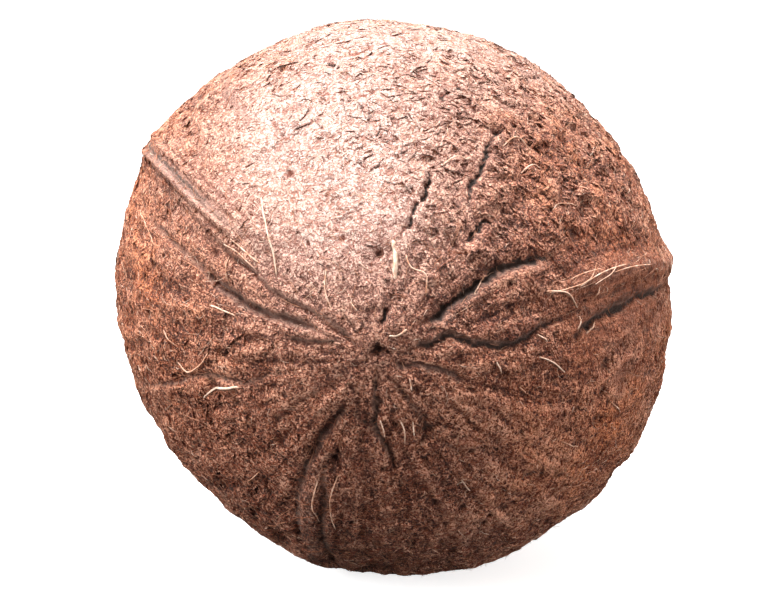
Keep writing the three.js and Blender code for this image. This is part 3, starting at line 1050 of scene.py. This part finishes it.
# %% Loose strands
STRANDS = [
    (0.22, 0.9, [(36, 129), (30, 133), (26, 137), (22, 145)]),
    (0.55, 0.3, [(20, 82), (17, 79), (13, 76)]),
    (0.17, 0.8, [(18, 74), (16, 68), (16, 58), (13, 49)]),
    (0.35, 0.5, [(39, 200), (34, 197), (30, 197), (27, 198)]),
    (0.2, 0.8, [(33, 18), (37, 15), (40, 9)]),
    (0.14, 0.6, [(33, 17), (38, 16), (43, 16), (48, 19)]),
    (0.16, 0.3, [(40, 15), (45, 16), (50, 16), (56, 15)]),
    (0.12, 0.4, [(39, 18), (43, 18), (48, 17)]),
    (0.14, 0.3, [(50, 15), (57, 14), (66, 12)]),
    (0.12, 0.4, [(44, 14), (49, 15), (53, 17)]),
    (0.17, 0.8, [(40, 7), (39, 3)]),
    (0.22, 0.5, [(45, 4), (42, 1)]),
    (0.15, 0.6, [(46, 13), (44, 10)]),
    (0.16, 0.5, [(21, 356), (23, 348)]),
    (0.18, 0.4, [(30, 356), (33, 354), (37, 350)]),
    (0.15, 0.5, [(27, 344), (29, 342)]),
    (0.14, 0.4, [(7, 325), (9, 313)]),
    (0.22, 0.5, [(30, 4), (32, 1)]),
    (0.15, 0.6, [(12, 273), (14, 275), (16, 275)]),
    (0.15, 0.6, [(13, 289), (15, 289), (18, 286)]),
    (0.14, 0.5, [(14, 297), (17, 293)]),
    (0.22, 0.7, [(44, 188), (40, 191), (35, 188), (33, 183)]),
    (0.22, 0.5, [(33, 168), (30, 168), (27, 169)]),
    (0.16, 0.4, [(33, 150), (32, 153), (30, 160)]),
    (0.16, 0.7, [(28, 246), (34, 248), (40, 252)]),
    (0.14, 0.8, [(25, 253), (32, 253), (41, 257)]),
    (0.14, 0.2, [(67, 156), (60, 158), (54, 161)]),
    (0.18, 0.3, [(34, 145), (30, 145), (26, 145)]),
    (0.15, 0.3, [(35, 148), (31, 147), (26, 148)]),
    (0.15, 0.4, [(17, 121), (14, 129), (10, 137)]),
    (0.14, 0.4, [(10, 116), (8, 113)]),
    (0.18, 0.6, [(46, 58), (50, 56), (51, 50)]),
    (0.16, 0.6, [(36, 71), (39, 68), (40, 63)]),
    (0.16, 0.6, [(44, 50), (47, 49), (49, 46)]),
    (0.12, 0.3, [(43, 37), (46, 37), (50, 33)]),
    (0.16, 0.4, [(20, 30), (24, 35)]),
    (0.18, 0.5, [(50, 343), (56, 340)]),
    (0.15, 0.5, [(41, 330), (47, 330)]),
    (0.14, 0.5, [(30, 301), (34, 301)]),
    (0.15, 0.5, [(41, 228), (35, 228)]),
    (0.16, 0.6, [(47, 180), (43, 184)]),
    (0.22, 0.2, [(4, 56), (5, 42), (7, 40)]),
]
STRAND_POINTS = 16
steps = np.linspace(0, 1, STRAND_POINTS)
ways = []
for _, _, places in STRANDS:
    route = route_through(places)
    share = np.linspace(0, 1, len(route))
    evened_route = [np.interp(steps, share, route[:, axis]) for axis in range(3)]
    ways.append(unit(np.stack(evened_route, axis=1)))
thickness = np.array([entry[0] for entry in STRANDS])[:, None, None]
height = np.array([entry[1] for entry in STRANDS])[:, None]
lift = height * np.sin(math.pi * steps) + 0.12 * np.sin(9 * steps + 5 * height)
tone = chance.uniform(0.62, 0.95, len(STRANDS))
strands = fibres("loose_strands", np.array(ways), lift, thickness, tone, 0.55)
print(strands.name, "strands:", len(STRANDS))

# %% [markdown]
# ## Floor, light and camera
# The nut lies on a plain white floor that runs into the white background. One large soft light hangs
# nearly over it, and two weak reflectors light its sides from the front. The room is white for the
# camera, but as a light it only fills from above, so that the nut's underside stays dark.

# %% Floor
FLOOR_SIZE = 6.0
FLOOR_GLOW = 0.76  # makes it nearly as white as the background
bpy.ops.object.select_all(action="DESELECT")
bpy.ops.mesh.primitive_plane_add(size=FLOOR_SIZE)
floor = bpy.context.object
floor.name = "floor"
floor_finish, floor_tree, floor_shader = new_finish("white_floor")
floor_paint = {"Base Color": (0.85, 0.85, 0.85, 1), "Roughness": 0.9}
floor_light = {"Emission Color": (1, 1, 1, 1), "Emission Strength": FLOOR_GLOW}
connect(floor_tree, floor_shader, {**floor_paint, **floor_light})
floor.data.materials.append(floor_finish)
floor.visible_diffuse = False
floor.visible_glossy = False

# %% Light
LIGHTS = [  # its side of the nut, metres away, metres across and watts
    ("softbox", (-0.11, -0.08, 0.95), 0.9, 0.7, 28.5),
    ("right_reflector", (0.93, -0.3, -0.18), 0.7, 0.5, 7.0),
    ("left_reflector", (-0.86, -0.44, 0.34), 0.7, 0.5, 7.0),
]
for light_name, side, distance, size, energy in LIGHTS:
    towards = Vector(side).normalized()
    bpy.ops.object.light_add(type="AREA", location=NUT + towards * distance)
    light = bpy.context.object
    light.name = light_name
    light.data.size = size
    light.data.energy = energy
    light.rotation_mode = "QUATERNION"
    light.rotation_quaternion = towards.to_track_quat("Z", "Y")
    light.visible_glossy = light_name == "softbox"

# %% The white room
FILL_COLOUR = (1.0, 0.94, 0.88)
FILL_STRENGTH = 0.76
world = bpy.data.worlds.new("white_room")
bpy.context.scene.world = world
world.use_nodes = True
world.cycles_visibility.glossy = False
room = world.node_tree
room.nodes.clear()
up = node(room, "ShaderNodeSeparateXYZ", {"Vector": node(room, "ShaderNodeTexCoord").outputs["Generated"]})
height = maths(room, "MULTIPLY_ADD", up.outputs["Z"], 0.5, 0.5)  # 0 straight down and 1 straight up
fill = ramp(room, height, (0.42, 0.0), (0.62, FILL_COLOUR))
fill_light = node(room, "ShaderNodeBackground", {"Color": fill, "Strength": FILL_STRENGTH})
white = node(room, "ShaderNodeBackground", {"Color": (1, 1, 1, 1), "Strength": 1.0})
seen = node(room, "ShaderNodeLightPath").outputs["Is Camera Ray"]
both = node(room, "ShaderNodeMixShader", {0: seen, 1: fill_light.outputs[0], 2: white.outputs[0]})
node(room, "ShaderNodeOutputWorld", {"Surface": both.outputs[0]})
bpy.context.scene.view_settings.view_transform = "Standard"

# %% Camera
CAMERA_AZIMUTH = math.radians(3.2)
CAMERA_ELEVATION = math.radians(9.9)
CAMERA_DISTANCE = 0.5
LENS = 109.5  # millimetres, on a sensor 36 mm wide
VIEW_SHIFT = -0.0058  # the nut stands a little to the right of the middle
level = Vector((math.sin(CAMERA_AZIMUTH), -math.cos(CAMERA_AZIMUTH), 0)) * math.cos(CAMERA_ELEVATION)
behind = level + Vector((0, 0, math.sin(CAMERA_ELEVATION)))
bpy.ops.object.camera_add(location=NUT + behind * CAMERA_DISTANCE)
camera = bpy.context.object
camera.name = "camera"
camera.rotation_mode = "QUATERNION"
camera.rotation_quaternion = behind.to_track_quat("Z", "Y")
camera.data.lens = LENS
camera.data.shift_x = VIEW_SHIFT
camera.data.clip_start = 0.01
bpy.context.scene.camera = camera
